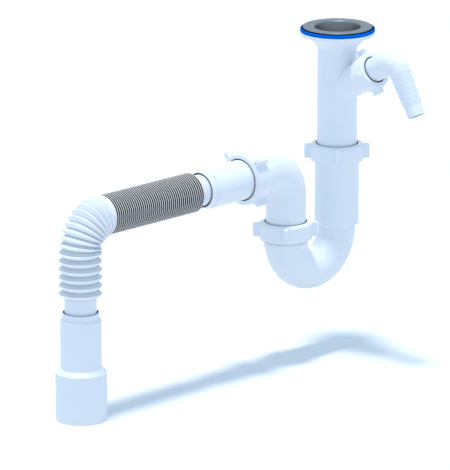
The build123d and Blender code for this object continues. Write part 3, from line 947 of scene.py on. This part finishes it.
@dataclass
class Studio:
    """Pale floor, high soft sun, cool sky and the camera at the photograph's view."""

    floor_half: float = 30.0
    floor_colour: Colour = (0.906, 0.919, 0.909)
    floor_bounce: Colour = (0.73, 0.72, 0.71)
    sky_colour: Colour = (0.53, 0.68, 0.88)
    sky_shown: Colour = (1.0, 1.0, 1.0)
    sun_strength: float = 1.9
    sun_angle: float = math.radians(8.0)
    sun_way: Vector = field(default_factory=lambda: Vector((14.0, 0.0, -329.0)))
    camera_place: Vector = field(default_factory=lambda: Vector((-3.9150, -3.7566, 1.2900)))
    camera_way: Vector = field(default_factory=lambda: Vector((0.68139, 0.68139, -0.26724)))
    lens: float = 428.94
    sensor: float = 36.0

    def build(self) -> None:
        """Build the floor, the lights and the camera."""
        self.build_floor()
        self.build_sky()
        self.build_sun()
        self.build_camera()
        bpy.context.scene.view_settings.view_transform = "Standard"

    def seen_directly(self, bench: NodeBench) -> bpy.types.NodeSocket:
        """Build the mask of rays that show the background.

        Args:
            bench: the bench to build on.

        Returns:
            The mask's socket: 1 for camera, glossy and transmission rays.
        """
        rays = bench.add("ShaderNodeLightPath").outputs
        shown = bench.math("MAXIMUM", rays["Is Camera Ray"], rays["Is Glossy Ray"])
        return bench.math("MAXIMUM", shown, rays["Is Transmission Ray"])

    def build_floor(self) -> None:
        """Build a plain floor at the foot of the adapter, which shows white where it is lit."""
        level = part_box("end_adapter")[0].z
        half = self.floor_half
        data = bpy.data.meshes.new("floor")
        corners = [(-half, -half, level), (half, -half, level), (half, half, level), (-half, half, level)]
        data.from_pydata(corners, [], [(0, 1, 2, 3)])
        floor = bpy.data.objects.new("floor", data)
        bpy.context.scene.collection.objects.link(floor)
        material, bench, shader = blank_material("floor")
        shown = bench.mix(self.seen_directly(bench), (*self.floor_bounce, 1.0), (*self.floor_colour, 1.0))
        bench.join(shown, shader.inputs["Base Color"])
        shader.inputs["Roughness"].default_value = 1.0
        shader.inputs["Specular IOR Level"].default_value = 0.0
        data.materials.append(material)

    def build_sky(self) -> None:
        """Build a cool, even sky that shows white behind the object."""
        world = bpy.data.worlds.new("sky")
        world.use_nodes = True
        bench = NodeBench(world.node_tree)
        shown = bench.mix(self.seen_directly(bench), (*self.sky_colour, 1.0), (*self.sky_shown, 1.0))
        bench.join(shown, world.node_tree.nodes["Background"].inputs["Color"])
        bpy.context.scene.world = world

    def build_sun(self) -> None:
        """Build a soft sun that stands almost straight overhead."""
        lamp = bpy.data.lights.new("sun", "SUN")
        lamp.energy = self.sun_strength
        lamp.angle = self.sun_angle
        sun = bpy.data.objects.new("sun", lamp)
        sun.rotation_mode = "QUATERNION"
        sun.rotation_quaternion = self.sun_way.to_track_quat("-Z", "Y")
        bpy.context.scene.collection.objects.link(sun)

    def build_camera(self) -> None:
        """Build the camera."""
        data = bpy.data.cameras.new("camera")
        data.lens = self.lens
        data.sensor_width = self.sensor
        camera = bpy.data.objects.new("camera", data)
        camera.location = self.camera_place
        camera.rotation_mode = "QUATERNION"
        camera.rotation_quaternion = self.camera_way.to_track_quat("-Z", "Y")
        bpy.context.scene.collection.objects.link(camera)
        bpy.context.scene.camera = camera


WHITE, WHITE_SHADE, WHITE_ROUGHNESS = (0.86, 0.90, 0.94), (0.84, 0.885, 0.93), 0.42
# Painted highlight: a brighter band on the top edge of the white brim under the gasket.
BRIM_PAINTED_HIGHLIGHT = Zone((1.0, 1.0, 0.97), 36.5 * MM, 38.0 * MM, -4.3 * MM, -3.3 * MM)
# Painted shadow: near black on the gasket's top face under and beside the steel flange's rim.
GASKET_PAINTED_SHADOW = Zone((0.0, 0.01, 0.03), 30.0 * MM, 36.3 * MM, -0.15 * MM, 1.0 * MM)
# Painted shade: near black on the underside and lower edge of the steel flange's rim, where it sits over
# the gasket.
FLANGE_PAINTED_SHADE = Zone((0.01, 0.012, 0.015), 33.0 * MM, 36.0 * MM, -1.0 * MM, 0.85 * MM)
# Painted reflection: the steel cup inside the flange takes a greyer, less blue tone than the flange, for
# what each reflects.
CUP_PAINTED_REFLECTION = Zone((0.205, 0.236, 0.268), -1.0 * MM, 23.0 * MM, -30.0 * MM, 1.2 * MM)
FINISHES = [
    MouldedFinish(Slot.WHITE, WHITE, WHITE_SHADE, WHITE_ROUGHNESS, zones=(BRIM_PAINTED_HIGHLIGHT,)),
    # The hose's fold colours are painted light: highlights on the crests, shade on the flanks and shadow in
    # the valleys.
    FoldedFinish(
        Slot.HOSE, WHITE, WHITE_SHADE, closed_crest_highlight=(1.0, 0.96, 0.91),
        closed_valley_shadow=(0.020, 0.016, 0.012), open_crest_highlight=(0.93, 0.96, 0.98),
        open_flank_shade=(0.71, 0.76, 0.79), open_shade=(0.78, 0.81, 0.85), open_valley_shadow=(0.46, 0.51, 0.56),
        roughness=WHITE_ROUGHNESS, bend_x=BEND_X, bend_z=BEND_Z, bend_radius=BEND_RADIUS,
        closed_band=(19.3 * MM, 19.85 * MM), open_band=(16.8 * MM, 17.3 * MM),
        flank_band=(19.9 * MM, 20.7 * MM), cuff_radius=16.2 * MM,
    ),
    MouldedFinish(Slot.RING, (0.04, 0.04, 0.045), (0.05, 0.05, 0.055), 0.55),
    MouldedFinish(Slot.SEAL, (0.75, 0.80, 0.84), (0.71, 0.76, 0.80), 0.6),
    MouldedFinish(Slot.RUBBER, (0.03, 0.03, 0.035), (0.05, 0.05, 0.055), 0.7, specular=0.3),
    MouldedFinish(
        Slot.BLUE, (0.0, 0.15, 0.78), (0.0, 0.137, 0.73), 0.5, specular=0.0, zones=(GASKET_PAINTED_SHADOW,),
    ),
    MetalFinish(
        Slot.STEEL, (0.165, 0.225, 0.295), (0.132, 0.180, 0.235), 0.28, zones=(FLANGE_PAINTED_SHADE, CUP_PAINTED_REFLECTION),
    ),
    MetalFinish(Slot.SCREW, (0.45, 0.46, 0.48), (0.38, 0.39, 0.41), 0.25),
    MetalFinish(Slot.BRASS, (0.62, 0.46, 0.20), (0.52, 0.38, 0.16), 0.3),
]


def main() -> None:
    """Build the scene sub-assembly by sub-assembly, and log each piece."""
    logging.basicConfig(level=logging.INFO, format="%(name)s: %(message)s")
    rack = GroupRack()
    rack.build()
    finishes = FinishRack(rack)
    finishes.build(FINISHES)
    assemblies = [
        SinkWaste(finishes),
        PipeRun(finishes),
        UnionJoint(finishes, Union.INLET, "trap", INLET_END, UP),
        UnionJoint(finishes, Union.OUTLET, "trap", OUTLET_END, UP),
        UnionJoint(finishes, Union.ELBOW, "elbow", ELBOW_END, BACK),
        ApplianceBranch(finishes),
        FoldedHose(finishes),
    ]
    for assembly in assemblies:
        for piece in assembly.build():
            log.info("%s: %s", type(assembly).__name__, piece)
    Studio().build()
    log.info("Studio: floor, sky, sun and camera")


if __name__ == "__main__":
    main()
